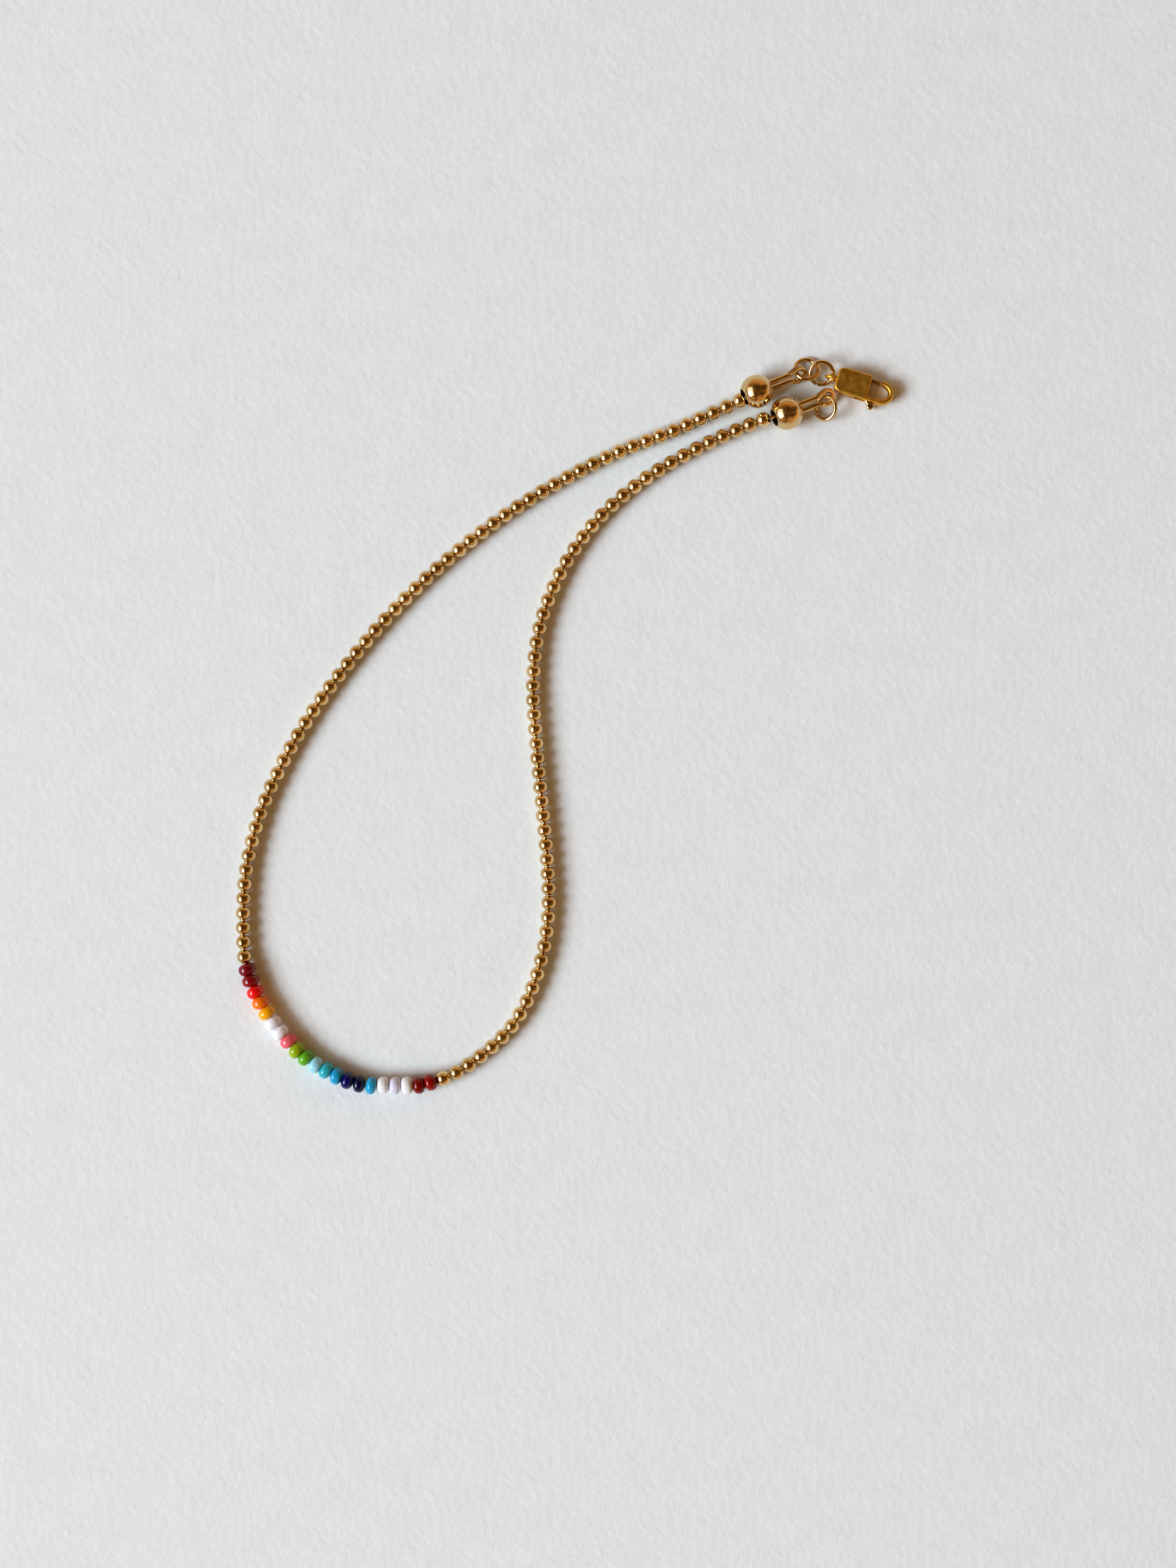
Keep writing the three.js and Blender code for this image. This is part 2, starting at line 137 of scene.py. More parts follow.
# Wire guards: the tube, its loop, and the cable that lies in it
GUARD = {
    "radius": 0.36, "gap": 1.1, "legs": (1.3, 4.4), "flare": 0.5, "margin": 0.11,
    "sides": 20, "steps": 110, "curve_steps": 24,
}
GUARD_LOOP = {"at": 5.75, "radius": 1.0, "open": 126, "step": 36}
GUARD_CABLE = {"radius": 0.17, "out": 0.09, "sides": 12}
# Name, end bead, distance along, and turn, slope and roll in degrees
GUARDS = [
    ("wire_guard_upper", UPPER_END, 0.25, 23, -8, 50),
    ("wire_guard_lower", LOWER_END, 0.0, 22.5, -8, 40),
]

# Jump rings
RING = {"middle": 1.51, "wire": 0.29, "sides": 20, "segments": 88, "seam": 3.0}
# Name, middle, and lean about x and y and place of the seam in degrees
RINGS = [
    ("jump_ring_guard", (32.05, 47.0, 1.0), -24, 2.5, 100),
    ("jump_ring_clasp", (34.0, 46.45, 1.2), 23, -7, 250),
    ("jump_ring_catch", (34.52, 41.88, 1.22), 5, -36.7, 150),
]

# Clasp, in its own frame: x runs from the tail to the hook, y to the gate's side
CLASP = {"x": 38.4, "y": 44.95, "turn": -17, "thickness": 2.2, "bevel": 0.26, "sharp": 35.0}
MIDDLE = CLASP["thickness"] / 2.0
BEVEL = {"segments": 4, "limit": 50}
TAIL = {"end": -2.6, "half": 0.95, "corner": -2.5, "shoulder": -1.55, "steps": 10}
EYE = {"at": -3.11, "radius": 0.76, "wire": 0.25, "segments": 48, "sides": 16}
CASE = {"right": 1.9, "half": 1.65, "corner": 0.3, "steps": 4}
HOOK = {"x": 3.4, "y": -0.1, "middle": (1.5, 1.24), "half": 0.38, "thick": 0.8, "root": 1.2, "power": 2.6}
HOOK_STEPS = {"straight": 8, "arc": 40, "around": 24}
PIVOT = {"x": 1.0, "y": 0.0, "pin": 0.32, "inset": 0.3, "hole": 0.45, "hub": 0.72, "sides": 40}
LEVER = {"thickness": 0.8, "gate_radius": 2.4, "gate_in": 0.7, "gate_out": 1.38, "steps": 6}
LEVER_BEVEL = {"gate": 0.14, "hub": 0.06, "stem": 0.12, "knob": 0.16}
KNOB = {"angle": -52, "arm": 0.6, "at": 2.8, "radius": 0.45, "thickness": 1.2, "sides": 40}
SLOT_THICKNESS = 1.1
SLOT = [(0.1, -0.9), (0.6, -2.2), (2.8, -2.2), (2.8, 1.9), (1.2, 1.9), (0.1, 0.85)]

# The CAD model is centred on its box, so the route is moved by the same amount
low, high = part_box("end_bead_upper")
SHIFT = (low + high) / 2.0 / MM - UPPER_END
SHIFT.z = 0.0
PLACE = Matrix.Scale(MM, 4) @ Matrix.Translation(SHIFT)


def rotation(degrees, axis):
    return Matrix.Rotation(math.radians(degrees), 4, axis)


def angles_round(count):
    """Angles of equal steps round a full turn."""
    return [FULL_TURN * k / count for k in range(count)]


def circle(x, y, radius, sides):
    return [(x + radius * math.cos(a), y + radius * math.sin(a)) for a in angles_round(sides)]


class Route:
    """A smooth curve through points, measured along its length."""

    REACH = 0.1

    def __init__(self, points, steps=120):
        knots = np.array(points, float)
        knots = np.vstack([2 * knots[0] - knots[1], knots, 2 * knots[-1] - knots[-2]])
        t = np.linspace(0.0, 1.0, steps, endpoint=False)[:, None]
        spans = []
        for a, b, c, d in zip(knots, knots[1:], knots[2:], knots[3:]):
            bend = (2 * a - 5 * b + 4 * c - d) * t**2 + (3 * b - a - 3 * c + d) * t**3
            spans.append(b + 0.5 * ((c - a) * t + bend))
        self.points = np.vstack(spans + [knots[-2:-1]])
        lengths = np.linalg.norm(np.diff(self.points, axis=0), axis=1)
        self.along = np.concatenate([[0.0], np.cumsum(lengths)])
        self.length = self.along[-1]

    def at(self, distance):
        return Vector([np.interp(distance, self.along, self.points[:, k]) for k in range(3)])

    def tangent(self, distance):
        return (self.at(distance + self.REACH) - self.at(distance - self.REACH)).normalized()

    def station(self, distance):
        """Matrix with the axes side, tangent and up at a distance along the curve."""
        tangent = self.tangent(distance)
        side = tangent.cross(UP).normalized()
        up = side.cross(tangent)
        turn = Matrix((side, tangent, up)).transposed().to_4x4()
        return Matrix.Translation(self.at(distance)) @ turn


class Shape:
    """Vertices and faces that are put together in millimetres."""

    def __init__(self):
        self.vertices = []
        self.faces = []

    def grid(self, rings, along=False, caps=False):
        """Closed rows of points joined by quads; the first and last rows are joined or capped, if asked."""
        start = len(self.vertices)
        count = len(rings[0])
        for ring in rings:
            self.vertices.extend(ring)
        for i in range(len(rings) if along else len(rings) - 1):
            here = start + i * count
            there = start + (i + 1) % len(rings) * count
            for k in range(count):
                n = (k + 1) % count
                self.faces.append((here + k, here + n, there + n, there + k))
        if caps:
            last = start + (len(rings) - 1) * count
            self.faces.append(tuple(range(start + count - 1, start - 1, -1)))
            self.faces.append(tuple(range(last, last + count)))

    def lathe(self, section, segments, matrix):
        """A closed section of (across, along) pairs, turned round the matrix's own y axis."""
        rings = []
        for a in angles_round(segments):
            rings.append([matrix @ Vector((r * math.sin(a), y, r * math.cos(a))) for r, y in section])
        self.grid(rings, along=True)

    def tube(self, centres, frames, radius, sides, along=False):
        """A round rod along centres, with two axes across it at each."""
        rings = []
        for centre, (u, v) in zip(centres, frames):
            ring = [centre + (u * math.cos(a) + v * math.sin(a)) * radius for a in angles_round(sides)]
            rings.append(ring)
        self.grid(rings, along=along, caps=not along)


# Materials
NOISE_SPAN = (0.3, 0.7)
TINT_SPAN = (0.25, 0.75)
GRAIN_DEPTH = 0.00002
GLASS = {
    "cloud": 900.0, "deep": 0.86, "rough": (0.03, 0.07), "ior": 1.45,
    "subsurface": 0.25, "scatter": (1.0, 0.8, 0.7), "scatter_scale": 0.0005,
    "ripple": 1500.0, "ripple_strength": 0.12, "ripple_depth": 0.00005,
}


def material(name):
    made = bpy.data.materials.new(name)
    made.use_nodes = True
    tree = made.node_tree
    return made, tree, tree.nodes["Principled BSDF"]


def add_node(tree, kind, **values):
    """A node with its settings and the default values of its inputs."""
    made = tree.nodes.new(kind)
    for key, value in values.items():
        if key in made.inputs:
            made.inputs[key].default_value = value
        else:
            setattr(made, key, value)
    return made


def noise_field(tree, scale, detail=3.0, stretch=None):
    """A noise value over the piece; a stretched one lies along the clasp."""
    coordinates = add_node(tree, "ShaderNodeTexCoord")
    field = add_node(tree, "ShaderNodeTexNoise", Scale=scale, Detail=detail)
    source = coordinates.outputs["Object"]
    if stretch is not None:
        turn = (0.0, 0.0, math.radians(-CLASP["turn"]))
        mapping = add_node(tree, "ShaderNodeMapping", Scale=stretch, Rotation=turn)
        tree.links.new(source, mapping.inputs["Vector"])
        source = mapping.outputs["Vector"]
    tree.links.new(source, field.inputs["Vector"])
    return field.outputs["Fac"]


def map_range(tree, value, source, result):
    """A value spread from one range over another."""
    made = add_node(tree, "ShaderNodeMapRange")
    for key, number in zip(("From Min", "From Max", "To Min", "To Max"), (*source, *result)):
        made.inputs[key].default_value = number
    tree.links.new(value, made.inputs["Value"])
    return made.outputs["Result"]


def colour_ramp(tree, value, stops):
    """A value turned into a colour by (position, colour) stops."""
    made = add_node(tree, "ShaderNodeValToRGB")
    elements = made.color_ramp.elements
    for element, (position, colour) in zip((elements[0], elements[1]), (stops[0], stops[-1])):
        element.position = position
        element.color = (*colour, 1.0)
    for position, colour in stops[1:-1]:
        elements.new(position).color = (*colour, 1.0)
    tree.links.new(value, made.inputs["Fac"])
    return made.outputs["Color"]


def tint(tree, value, target, first, second):
    colour = colour_ramp(tree, value, [(TINT_SPAN[0], first), (TINT_SPAN[1], second)])
    tree.links.new(colour, target)


def relief(tree, shader, field, strength, depth):
    bump = add_node(tree, "ShaderNodeBump", Strength=strength, Distance=depth)
    tree.links.new(field, bump.inputs["Height"])
    tree.links.new(bump.outputs["Normal"], shader.inputs["Normal"])


def metal(name, first, second, rough, wear_scale, grain, grain_scale, stretch=None, islands=False):
    """A metal between two colours, by its wear or from one loose part of the mesh to the next."""
    made, tree, shader = material(name)
    shader.inputs["Metallic"].default_value = 1.0
    wear = noise_field(tree, wear_scale)
    pick = wear
    if islands:
        pick = add_node(tree, "ShaderNodeNewGeometry").outputs["Random Per Island"]
    tint(tree, pick, shader.inputs["Base Color"], first, second)
    tree.links.new(map_range(tree, wear, NOISE_SPAN, rough), shader.inputs["Roughness"])
    marks = noise_field(tree, grain_scale, detail=2.0, stretch=stretch)
    relief(tree, shader, marks, grain, GRAIN_DEPTH)
    return made


def glass(name, colour):
    """Glossy opaque glass with faint clouds and ripples."""
    made, tree, shader = material(name)
    cloud = noise_field(tree, GLASS["cloud"])
    deep = tuple(c * GLASS["deep"] for c in colour)
    tint(tree, cloud, shader.inputs["Base Color"], deep, colour)
    tree.links.new(map_range(tree, cloud, NOISE_SPAN, GLASS["rough"]), shader.inputs["Roughness"])
    shader.inputs["IOR"].default_value = GLASS["ior"]
    shader.inputs["Subsurface Weight"].default_value = GLASS["subsurface"]
    shader.inputs["Subsurface Radius"].default_value = GLASS["scatter"]
    shader.inputs["Subsurface Scale"].default_value = GLASS["scatter_scale"]
    ripple = noise_field(tree, GLASS["ripple"], detail=1.0)
    relief(tree, shader, ripple, GLASS["ripple_strength"], GLASS["ripple_depth"])
    return made


GOLD = metal(
    "polished_gold", (0.66, 0.44, 0.19), (0.77, 0.54, 0.26), rough=(0.06, 0.14),
    wear_scale=1400.0, grain=0.10, grain_scale=9000.0,
)
STRING_GOLD = metal(
    "polished_gold_beads", (0.64, 0.44, 0.20), (0.80, 0.58, 0.30), rough=(0.05, 0.13),
    wear_scale=1400.0, grain=0.35, grain_scale=1500.0, islands=True,
)
SATIN = metal(
    "satin_gold", (0.64, 0.32, 0.03), (0.76, 0.41, 0.055), rough=(0.34, 0.46),
    wear_scale=1100.0, grain=0.55, grain_scale=5200.0, stretch=(0.35, 1.6, 1.0),
)
# Near-black metal for the end beads' bores: tarnish and painted shade in the holes
BORE_TARNISH_AND_SHADE = metal(
    "bore_tarnish_and_painted_shade", (0.035, 0.020, 0.008), (0.06, 0.035, 0.014), rough=(0.45, 0.6),
    wear_scale=1400.0, grain=0.2, grain_scale=9000.0,
)
STEEL = metal(
    "coated_wire", (0.42, 0.38, 0.31), (0.52, 0.48, 0.40), rough=(0.28, 0.40),
    wear_scale=2200.0, grain=0.25, grain_scale=9000.0,
)


def piece(name, mesh, shade, nodes, body="anklet", sharp=40.0):
    """One visible piece that stands for CAD nodes and rides with their body."""
    if not mesh.materials:
        mesh.materials.append(shade)
    mesh.polygons.foreach_set("use_smooth", [True] * len(mesh.polygons))
    mesh.set_sharp_from_angle(angle=math.radians(sharp))
    mesh.update()
    made = bpy.data.objects.new(name, mesh)
    bpy.context.scene.collection.objects.link(made)
    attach(made, body)
    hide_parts(*nodes)


def mesh_of(name, shape, place=PLACE):
    """A mesh of a shape, its faces turned outwards."""
    mesh = bpy.data.meshes.new(name)
    mesh.from_pydata([place @ Vector(v) for v in shape.vertices], [], shape.faces)
    made = bmesh.new()
    made.from_mesh(mesh)
    bmesh.ops.recalc_face_normals(made, faces=made.faces)
    made.to_mesh(mesh)
    made.free()
    return mesh


def bead_section(bead):
    """Half outline of a drilled ball: its curve, a rounded lip at each mouth, and the bore."""
    radius, hole, lip, bands = bead["radius"], bead["hole"], bead["lip"], bead["bands"]
    mouth = math.asin((hole + lip) / radius)
    section = []
    for i in range(bands + 1):
        a = mouth + (math.pi - 2 * mouth) * i / bands
        section.append((radius * math.sin(a), -radius * math.cos(a)))
    end = radius * math.cos(mouth)
    section.append((hole + lip * LIP["inset"], end - lip * LIP["drop"]))
    section.append((hole, end - lip))
    section.append((hole, lip - end))
    section.append((hole + lip * LIP["inset"], lip * LIP["drop"] - end))
    return section


def glass_section(half):
    """Half outline of a drilled glass bead: a rounded barrel, its mouths softened, and the bore."""
    radius, hole, power, bands = (GLASS_BEAD[key] for key in ("radius", "hole", "power", "bands"))
    mouth = math.asin((hole / radius) ** (power / 2.0))
    section = []
    for i in range(bands + 1):
        a = mouth + (math.pi - 2.0 * mouth) * i / bands
        along = math.copysign(abs(math.cos(a)) ** (2.0 / power), -math.cos(a))
        section.append((radius * math.sin(a) ** (2.0 / power), half * along))
    dip = half * GLASS_BEAD["dip"]
    throat = hole * GLASS_BEAD["throat"]
    section.append((throat, section[-1][1] - dip))
    section.append((throat, section[0][1] + dip))
    return section


# The gold beads share one pitch: what is left of the route after the coloured beads
route = Route(ROUTE)
glass_row = len(GLASS_BEADS) * GLASS_BEAD["pitch"]
gold_row = route.length - LEFT_STRING["first"] - RIGHT_STRING["first"] - glass_row
gold_pitch = gold_row / (LEFT_STRING["beads"] + RIGHT_STRING["beads"] - 1)
left_start = LEFT_STRING["first"] - gold_pitch / 2.0
glass_start = left_start + LEFT_STRING["beads"] * gold_pitch
right_start = glass_start + glass_row


def wire_along(shape, start, end):
    """The wire's stretch of the route."""
    count = max(2, int((end - start) / WIRE["step"]))
    centres = []
    frames = []
    for i in range(count + 1):
        spot = route.station(start + (end - start) * i / count)
        centres.append(spot.translation.copy())
        frames.append((spot.col[0].to_3d(), spot.col[2].to_3d()))
    shape.tube(centres, frames, WIRE["radius"], WIRE["sides"])


def either_way(amount):
    return dice.uniform(-amount, amount)


def gold_string(side, start, beads, wire_start, wire_end):
    """A row of drilled gold balls on their wire."""
    shape = Shape()
    section = bead_section(GOLD_BEAD)
    for i in range(beads):
        spot = route.station(start + (i + 0.5) * gold_pitch)
        roll = Matrix.Rotation(dice.uniform(0.0, FULL_TURN), 4, "Y")
        lean = rotation(either_way(GOLD_JUMBLE["lean"]), "Z")
        tip = rotation(either_way(GOLD_JUMBLE["tip"]), "X")
        size = Matrix.Scale(dice.uniform(*GOLD_JUMBLE["size"]), 4)
        shape.lathe(section, GOLD_BEAD["segments"], spot @ lean @ tip @ roll @ size)
    wire_along(shape, wire_start, wire_end)
    name = f"fine_gold_{side}"
    piece(name, mesh_of(name, shape), STRING_GOLD, [f"gold_bead_string_{side}"])


def glass_bead(index, name, slot, colour, lean, length):
    """One drilled glass bead, set a little crooked on the wire."""
    spot = route.station(glass_start + (index + 0.5) * GLASS_BEAD["pitch"])
    slip = Matrix.Translation((either_way(GLASS_JUMBLE["slip"]), 0.0, 0.0))
    turn = rotation(lean, "Z")
    tip = rotation(either_way(GLASS_JUMBLE["tip"]), "X")
    width = dice.uniform(*GLASS_JUMBLE["width"])
    height = dice.uniform(*GLASS_JUMBLE["height"])
    squash = Matrix.Diagonal((width, 1.0, height, 1.0))
    shape = Shape()
    section = glass_section(GLASS_BEAD["half"] * length)
    shape.lathe(section, GLASS_BEAD["segments"], spot @ slip @ turn @ tip @ squash)
    node = f"glass_bead_{index + 1:02d}_{name}"
    piece(f"glass_{index + 1:02d}_{name}", mesh_of(node, shape), glass(node, colour), [node])


def end_bead(name, end, turn, tilt):
    """A drilled ball whose bore has a dark material: tarnish and painted shade in the hole."""
    shape = Shape()
    spot = Matrix.Translation(end) @ rotation(turn - 90, "Z") @ rotation(-tilt, "X")
    shape.lathe(bead_section(END_BEAD), END_BEAD["segments"], spot)
    mesh = mesh_of(name, shape)
    mesh.materials.append(GOLD)
    mesh.materials.append(BORE_TARNISH_AND_SHADE)
    middle = PLACE @ end
    axis = spot.col[1].to_3d()
    # Faces this close to the axis get the dark material: tarnish and painted shade in the bore
    bore = (END_BEAD["hole"] + END_BEAD["lip"] * LIP["tarnish_and_shade"]) * MM
    for face in mesh.polygons:
        arm = face.center - middle
        across = (arm - axis * arm.dot(axis)).length
        face.material_index = int(across < bore)
    piece("fine_" + name, mesh, GOLD, [name])


gold_string("left", left_start, LEFT_STRING["beads"], WIRE["gap"], glass_start)
gold_string("right", right_start, RIGHT_STRING["beads"], right_start, route.length - WIRE["gap"])
for number, bead in enumerate(GLASS_BEADS):
    glass_bead(number, *bead)

wire_shape = Shape()
wire_along(wire_shape, glass_start + WIRE["gap"], right_start - WIRE["gap"])
piece("fine_wire", mesh_of("fine_wire", wire_shape), STEEL, ["beading_wire"])

for bead in END_BEADS:
    end_bead(*bead)

# Section of a guard's tube, and of the channel that it opens into round its loop: outward, across
GUARD_ROUND = circle(0.0, 0.0, 1.0, GUARD["sides"])
CHANNEL_SIDE = [(-0.15, 0.0), (-0.15, 0.36), (0.05, 0.56), (0.78, 0.66), (0.7, 0.9), (0.25, 1.0)]
GUARD_CHANNEL = list(GUARD_ROUND)
for k, (outward, across) in enumerate(CHANNEL_SIDE):
    GUARD_CHANNEL[k] = (outward, across)
    GUARD_CHANNEL[-k] = (outward, -across)


def guard_path():
    """Middle line of a guard in its own plane."""
    half = GUARD["gap"] / 2.0
    first, last = GUARD["legs"]
    leg = [(first, half, 0.0), ((first + last) / 2.0, half, 0.0), (last, half, 0.0)]
    back = [(x, -y, z) for x, y, z in reversed(leg)]
    radius = GUARD_LOOP["radius"]
    loop = []
    for degrees in range(GUARD_LOOP["open"], -GUARD_LOOP["open"] - 1, -GUARD_LOOP["step"]):
        a = math.radians(degrees)
        loop.append((GUARD_LOOP["at"] + radius * math.cos(a), radius * math.sin(a), 0.0))
    return Route(leg + loop + back, GUARD["curve_steps"])


def wire_guard(name, end, along, turn, slope, roll):
    """Two tubes side by side that open into a channelled loop, with the cable lying in it."""
    path = guard_path()
    margin = GUARD["margin"]
    place = Matrix.Translation(end) @ rotation(turn, "Z") @ rotation(-slope, "Y") @ rotation(roll, "X")
    place = place @ Matrix.Translation((along, 0.0, 0.0))
    rings = []
    centres = []
    frames = []
    for i in range(GUARD["steps"] + 1):
        distance = path.length * i / GUARD["steps"]
        spot = path.at(distance)
        tangent = path.tangent(min(max(distance, margin), path.length - margin))
        outward = Vector((-tangent.y, tangent.x, 0.0))
        opening = min(1.0, max(0.0, (spot.x - GUARD["legs"][1]) / GUARD["flare"]))
        ring = []
        for (a, b), (c, d) in zip(GUARD_ROUND, GUARD_CHANNEL):
            x = (a + (c - a) * opening) * GUARD["radius"]
            y = (b + (d - b) * opening) * GUARD["radius"]
            ring.append(place @ (spot + outward * x + UP * y))
        rings.append(ring)
        if opening > 0.0:
            centres.append(place @ (spot + outward * GUARD_CABLE["out"]))
            frames.append((place.to_3x3() @ outward, place.to_3x3() @ UP))
    shape = Shape()
    shape.grid(rings, caps=True)
    shape.tube(centres, frames, GUARD_CABLE["radius"], GUARD_CABLE["sides"])
    piece("fine_" + name, mesh_of(name, shape), GOLD, [name])


def jump_ring(name, middle, lean_x, lean_y, seam_at):
    """A round wire ring with the hairline where its ends meet."""
    place = Matrix.Translation(middle) @ rotation(lean_x, "X") @ rotation(lean_y, "Y")
    shape = Shape()
    centres = []
    frames = []
    for i in range(RING["segments"] + 1):
        a = math.radians(seam_at + (360.0 - RING["seam"]) * i / RING["segments"])
        out = Vector((math.cos(a), math.sin(a), 0.0))
        centres.append(place @ (out * RING["middle"]))
        frames.append((place.to_3x3() @ out, place.to_3x3() @ UP))
    shape.tube(centres, frames, RING["wire"], RING["sides"])
    piece("fine_" + name, mesh_of(name, shape), GOLD, [name])


for guard in GUARDS:
    wire_guard(*guard)
for ring in RINGS:
    jump_ring(*ring)


def solid_object(name, shape):
    made = bpy.data.objects.new(name, mesh_of(name, shape, Matrix.Identity(4)))
    bpy.context.scene.collection.objects.link(made)
    return made


def apply_modifiers(made):
    bpy.context.view_layer.update()
    graph = bpy.context.evaluated_depsgraph_get()
    old = made.data
    made.data = bpy.data.meshes.new_from_object(made.evaluated_get(graph))
    made.modifiers.clear()
    bpy.data.meshes.remove(old)


def plate(name, outline, thickness, bevel=0.0):
    """An outline drawn out to a thickness round the clasp's middle plane, its edges rounded."""
    shape = Shape()
    levels = (MIDDLE - thickness / 2.0, MIDDLE + thickness / 2.0)
    shape.grid([[Vector((x, y, z)) for x, y in outline] for z in levels], caps=True)
    made = solid_object(name, shape)
    if bevel:
        rounding = made.modifiers.new("bevel", "BEVEL")
        rounding.width = bevel
        rounding.segments = BEVEL["segments"]
        rounding.limit_method = "ANGLE"
        rounding.angle_limit = math.radians(BEVEL["limit"])
        apply_modifiers(made)
    return made


def combine(target, other, operation):
    cut = target.modifiers.new("cut", "BOOLEAN")
    cut.operation = operation
    cut.solver = "EXACT"
    cut.object = other
    apply_modifiers(target)
    bpy.data.objects.remove(other)


def pivot_circle(radius):
    return circle(PIVOT["x"], PIVOT["y"], radius, PIVOT["sides"])


def curve_between(start, control, end, steps):
    points = []
    for i in range(steps + 1):
        t = i / steps
        a, b, c = (1 - t) ** 2, 2 * t * (1 - t), t * t
        points.append(tuple(a * s + b * m + c * e for s, m, e in zip(start, control, end)))
    return points


def clasp_outline():
    """The case from above, narrowing to the tail."""
    right, half, corner = CASE["right"], CASE["half"], CASE["corner"]
    tail, shoulder = (TAIL["end"], -TAIL["half"]), (TAIL["shoulder"], -half)
    lower = curve_between(tail, (TAIL["corner"], -half), shoulder, TAIL["steps"])
    lower += curve_between((right - corner, -half), (right, -half), (right, corner - half), CASE["steps"])
    return lower + [(x, -y) for x, y in reversed(lower)]


def rounded(value, power):
    return math.copysign(abs(value) ** (2.0 / power), value)


def hook_shape():
    """A rounded bar that runs out of the case and turns back towards the gate."""
    wide, tall = HOOK["middle"]
    straight, arc, around = (HOOK_STEPS[key] for key in ("straight", "arc", "around"))
    reach = HOOK["x"] - HOOK["root"]
    line = [(HOOK["root"] + reach * i / straight, HOOK["y"] - tall) for i in range(straight)]
    for i in range(arc + 1):
        a = math.pi * i / arc
        line.append((HOOK["x"] + wide * math.sin(a), HOOK["y"] - tall * math.cos(a)))
    rings = []
    for i, (x, y) in enumerate(line):
        before = Vector(line[max(i - 1, 0)])
        after = Vector(line[min(i + 1, len(line) - 1)])
        along = (after - before).normalized()
        out = Vector((along.y, -along.x, 0.0))
        ring = []
        for a in angles_round(around):
            u = rounded(math.cos(a), HOOK["power"]) * HOOK["half"]
            v = rounded(math.sin(a), HOOK["power"]) * HOOK["thick"]
            ring.append(Vector((x, y, MIDDLE)) + out * u + UP * v)
        rings.append(ring)
    shape = Shape()
    shape.grid(rings, caps=True)
    return shape


def eye_shape():
    """The loop at the tail, standing on edge."""
    shape = Shape()
    centres = []
    frames = []
    for a in angles_round(EYE["segments"]):
        out = Vector((math.cos(a), 0.0, math.sin(a)))
        centres.append(Vector((EYE["at"], 0.0, MIDDLE)) + out * EYE["radius"])
        frames.append((out, Vector((0.0, 1.0, 0.0))))
    shape.tube(centres, frames, EYE["wire"], EYE["sides"], along=True)
    return shape


def gate_outline():
    """The gate from above: it widens from the pivot to the arc that closes the hook."""
    x, y, hub, radius = PIVOT["x"], PIVOT["y"], PIVOT["hub"], LEVER["gate_radius"]
    first = math.asin(LEVER["gate_in"] / radius)
    last = math.asin(LEVER["gate_out"] / radius)
    outline = [(x, y), (x + hub, LEVER["gate_in"])]
    for i in range(LEVER["steps"] + 1):
        a = first + (last - first) * i / LEVER["steps"]
        outline.append((x + radius * math.cos(a), radius * math.sin(a)))
    return outline + [(x + hub, LEVER["gate_out"]), (x - hub / 2.0, hub / 2.0)]


def on_stem(points):
    """Points along the knob's stem, turned about the pivot."""
    turn = Matrix.Rotation(math.radians(KNOB["angle"]), 2)
    return [tuple(turn @ Vector(p) + Vector((PIVOT["x"], PIVOT["y"]))) for p in points]


def stem_outline():
    half, end = KNOB["arm"] / 2.0, KNOB["at"]
    return on_stem([(0.0, -half), (end, -half), (end, half), (0.0, half)])


def knob_outline():
    return on_stem(circle(KNOB["at"], 0.0, KNOB["radius"], KNOB["sides"]))


def clasp_piece(name, made, shade, node, body):
    mesh = made.data
    spot = Matrix.Translation((CLASP["x"], CLASP["y"], 0.0)) @ rotation(CLASP["turn"], "Z")
    mesh.transform(PLACE @ spot)
    bpy.data.objects.remove(made)
    piece(name, mesh, shade, [node], body, CLASP["sharp"])


case = plate("case", clasp_outline(), CLASP["thickness"], CLASP["bevel"])
pin_length = CLASP["thickness"] - 2.0 * PIVOT["inset"]
combine(case, solid_object("hook", hook_shape()), "UNION")
combine(case, solid_object("eye", eye_shape()), "UNION")
combine(case, plate("slot", SLOT, SLOT_THICKNESS), "DIFFERENCE")
combine(case, plate("pin", pivot_circle(PIVOT["pin"]), pin_length), "UNION")
clasp_piece("fine_clasp_body", case, SATIN, "clasp_body", "anklet")

thin = LEVER["thickness"]
lever = plate("lever", gate_outline(), thin, LEVER_BEVEL["gate"])
combine(lever, plate("hub", pivot_circle(PIVOT["hub"]), thin, LEVER_BEVEL["hub"]), "UNION")
combine(lever, plate("stem", stem_outline(), thin, LEVER_BEVEL["stem"]), "UNION")
combine(lever, plate("knob", knob_outline(), KNOB["thickness"], LEVER_BEVEL["knob"]), "UNION")
combine(lever, plate("bore", pivot_circle(PIVOT["hole"]), CLASP["thickness"]), "DIFFERENCE")
clasp_piece("fine_clasp_lever", lever, GOLD, "clasp_lever", "lever")

# Table top
TABLE = {"reach": 2.0, "drop": 0.00001, "rough": 0.85, "specular": 0.2}
PAPER = {"fibre": 260.0, "first": (0.77, 0.77, 0.76), "second": (0.81, 0.81, 0.80)}
PAPER_GRAIN = {"scale": 1000.0, "strength": 0.4, "depth": 0.0002}
floor_mesh = bpy.data.meshes.new("table")
corners = [(x * TABLE["reach"], y * TABLE["reach"], 0) for x, y in ((-1, -1), (1, -1), (1, 1), (-1, 1))]
floor_mesh.from_pydata(corners, [], [(0, 1, 2, 3)])
floor = bpy.data.objects.new("table", floor_mesh)
floor.location.z = -TABLE["drop"]
bpy.context.scene.collection.objects.link(floor)
paper, paper_tree, paper_shader = material("pale_table")
fibre = noise_field(paper_tree, PAPER["fibre"], detail=6.0)
tint(paper_tree, fibre, paper_shader.inputs["Base Color"], PAPER["first"], PAPER["second"])
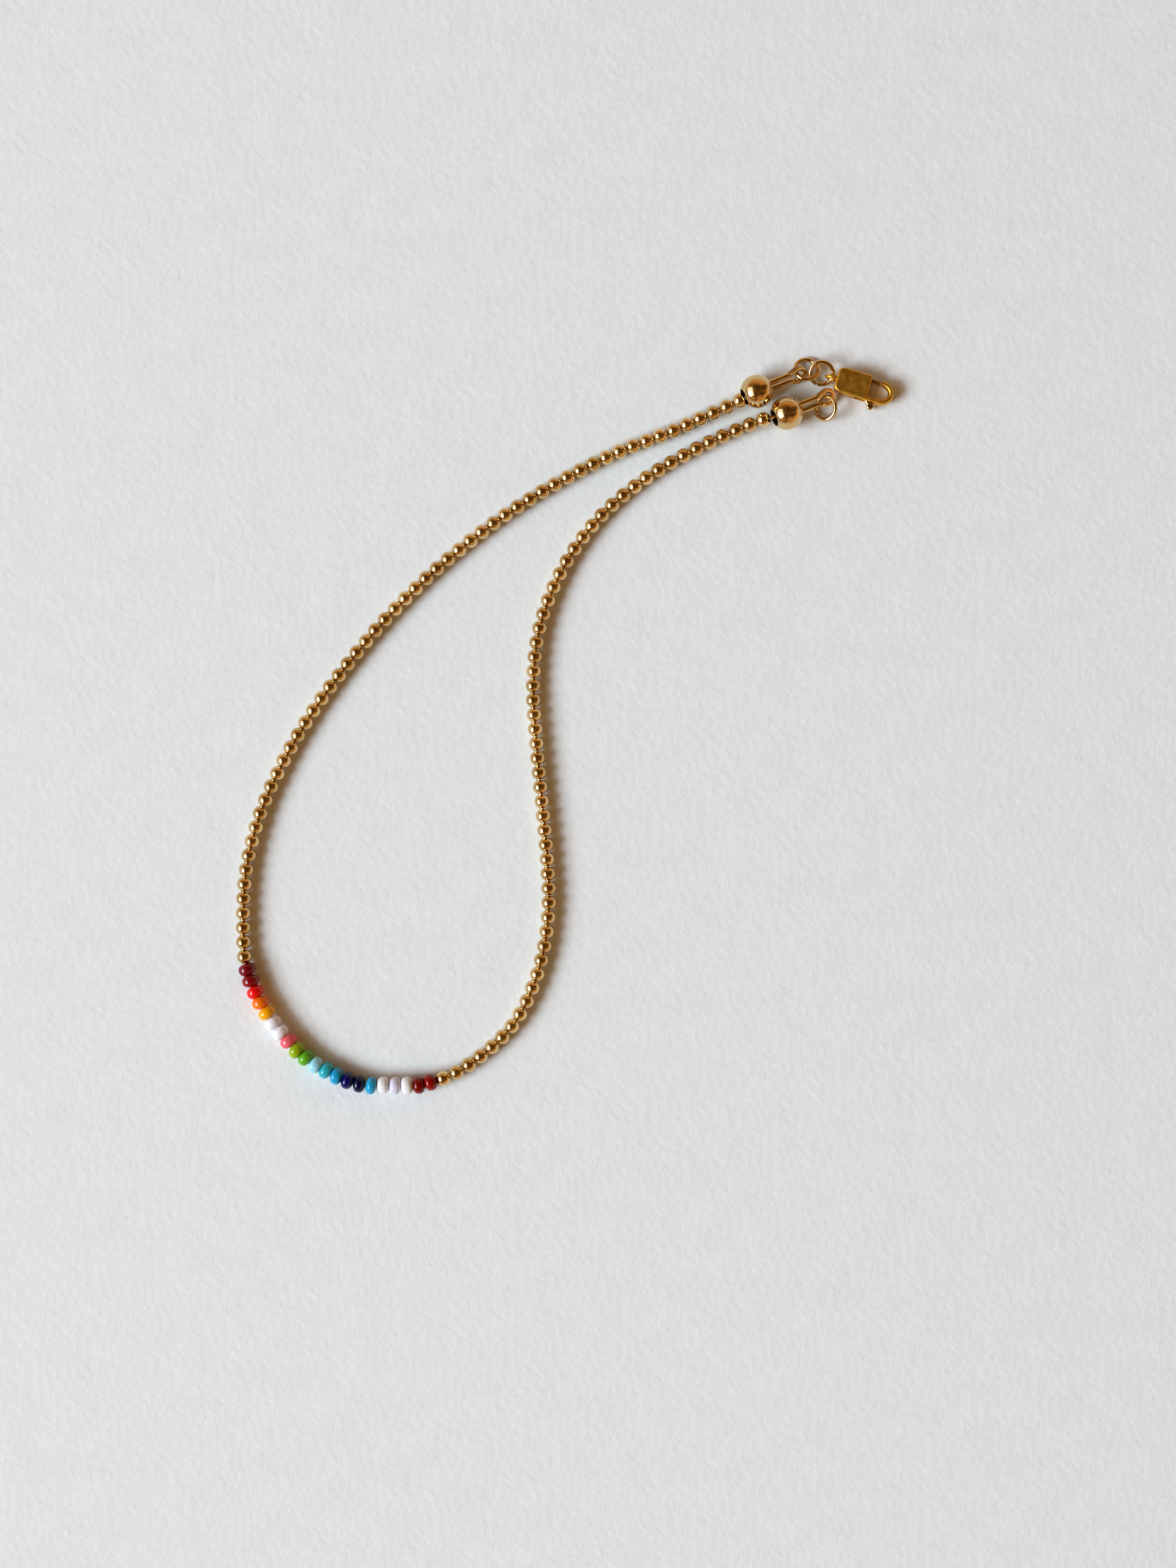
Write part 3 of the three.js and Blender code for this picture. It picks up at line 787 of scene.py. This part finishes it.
paper_grain = noise_field(paper_tree, PAPER_GRAIN["scale"], detail=4.0)
relief(paper_tree, paper_shader, paper_grain, PAPER_GRAIN["strength"], PAPER_GRAIN["depth"])
paper_shader.inputs["Roughness"].default_value = TABLE["rough"]
paper_shader.inputs["Specular IOR Level"].default_value = TABLE["specular"]
floor_mesh.materials.append(paper)
floor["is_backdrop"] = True

# Daylight from the left and a little from the near side: name, place, width, height, power
DAYLIGHT = (0.73, 0.872, 0.985)
LIGHTS = [
    ("window", (-2.68, -1.03, 1.98), 1.8, 1.3, 150.0),
    ("curtain", (-2.75, -0.50, 2.30), 4.0, 2.5, 55.0),
]
for name, place, width, height, power in LIGHTS:
    lamp = bpy.data.lights.new(name, "AREA")
    lamp.shape = "RECTANGLE"
    lamp.size = width
    lamp.size_y = height
    lamp.energy = power
    lamp.color = DAYLIGHT
    light = bpy.data.objects.new(name, lamp)
    light.location = place
    light.rotation_euler = (-Vector(place)).to_track_quat("-Z", "Y").to_euler()
    bpy.context.scene.collection.objects.link(light)

# The room: a pale wall low down, and a warm, dim, uneven space above it
WALL_TOP = 0.12
ROOM_FROM = 0.2
ROOM = [
    (0.0, (0.56, 0.55, 0.53)), (WALL_TOP, (0.56, 0.54, 0.51)), (ROOM_FROM, (0.48, 0.265, 0.088)),
    (0.42, (0.37, 0.20, 0.063)), (0.9, (0.15, 0.081, 0.026)),
]
PATCHES = [(0.38, (0.35, 0.32, 0.30)), (0.64, (1.9, 1.85, 1.75))]
PATCH_NOISE = {"Scale": 1.7, "Detail": 2.0}
MIX_FIRST, MIX_SECOND, MIX_RESULT = 6, 7, 2
world = bpy.data.worlds.new("room")
bpy.context.scene.world = world
world.use_nodes = True
room = world.node_tree
direction = add_node(room, "ShaderNodeTexCoord").outputs["Generated"]
parts = add_node(room, "ShaderNodeSeparateXYZ")
room.links.new(direction, parts.inputs["Vector"])
rise = parts.outputs["Z"]
patches = add_node(room, "ShaderNodeTexNoise", **PATCH_NOISE)
room.links.new(direction, patches.inputs["Vector"])
uneven = add_node(room, "ShaderNodeMix", data_type="RGBA", blend_type="MULTIPLY")
above_wall = map_range(room, rise, (WALL_TOP, ROOM_FROM), (0.0, 1.0))
room.links.new(above_wall, uneven.inputs["Factor"])
room.links.new(colour_ramp(room, rise, ROOM), uneven.inputs[MIX_FIRST])
room.links.new(colour_ramp(room, patches.outputs["Fac"], PATCHES), uneven.inputs[MIX_SECOND])
room.links.new(uneven.outputs[MIX_RESULT], room.nodes["Background"].inputs["Color"])

# Camera straight above, framed as 1659 x 2212 pixels at 10.7 pixels a millimetre
PIXELS_PER_MM = 10.7
FRAME = (1659, 2212)
ORIGIN = (795, 1024)
HEIGHT = 0.320
BEAD_LEVEL = 0.001
SENSOR = 36.0
CLIP = (0.01, 20.0)
view_x = (FRAME[0] / 2.0 - ORIGIN[0]) / PIXELS_PER_MM + SHIFT.x
view_y = (ORIGIN[1] - FRAME[1] / 2.0) / PIXELS_PER_MM + SHIFT.y
lens = bpy.data.cameras.new("camera")
lens.sensor_fit = "VERTICAL"
lens.sensor_height = SENSOR
lens.lens = SENSOR * (HEIGHT - BEAD_LEVEL) / (FRAME[1] / PIXELS_PER_MM * MM)
lens.clip_start, lens.clip_end = CLIP
lens.dof.use_dof = False
camera = bpy.data.objects.new("camera", lens)
camera.location = (view_x * MM, view_y * MM, HEIGHT)
bpy.context.scene.collection.objects.link(camera)
bpy.context.scene.camera = camera
bpy.context.scene.view_settings.view_transform = "Standard"

low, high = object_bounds()
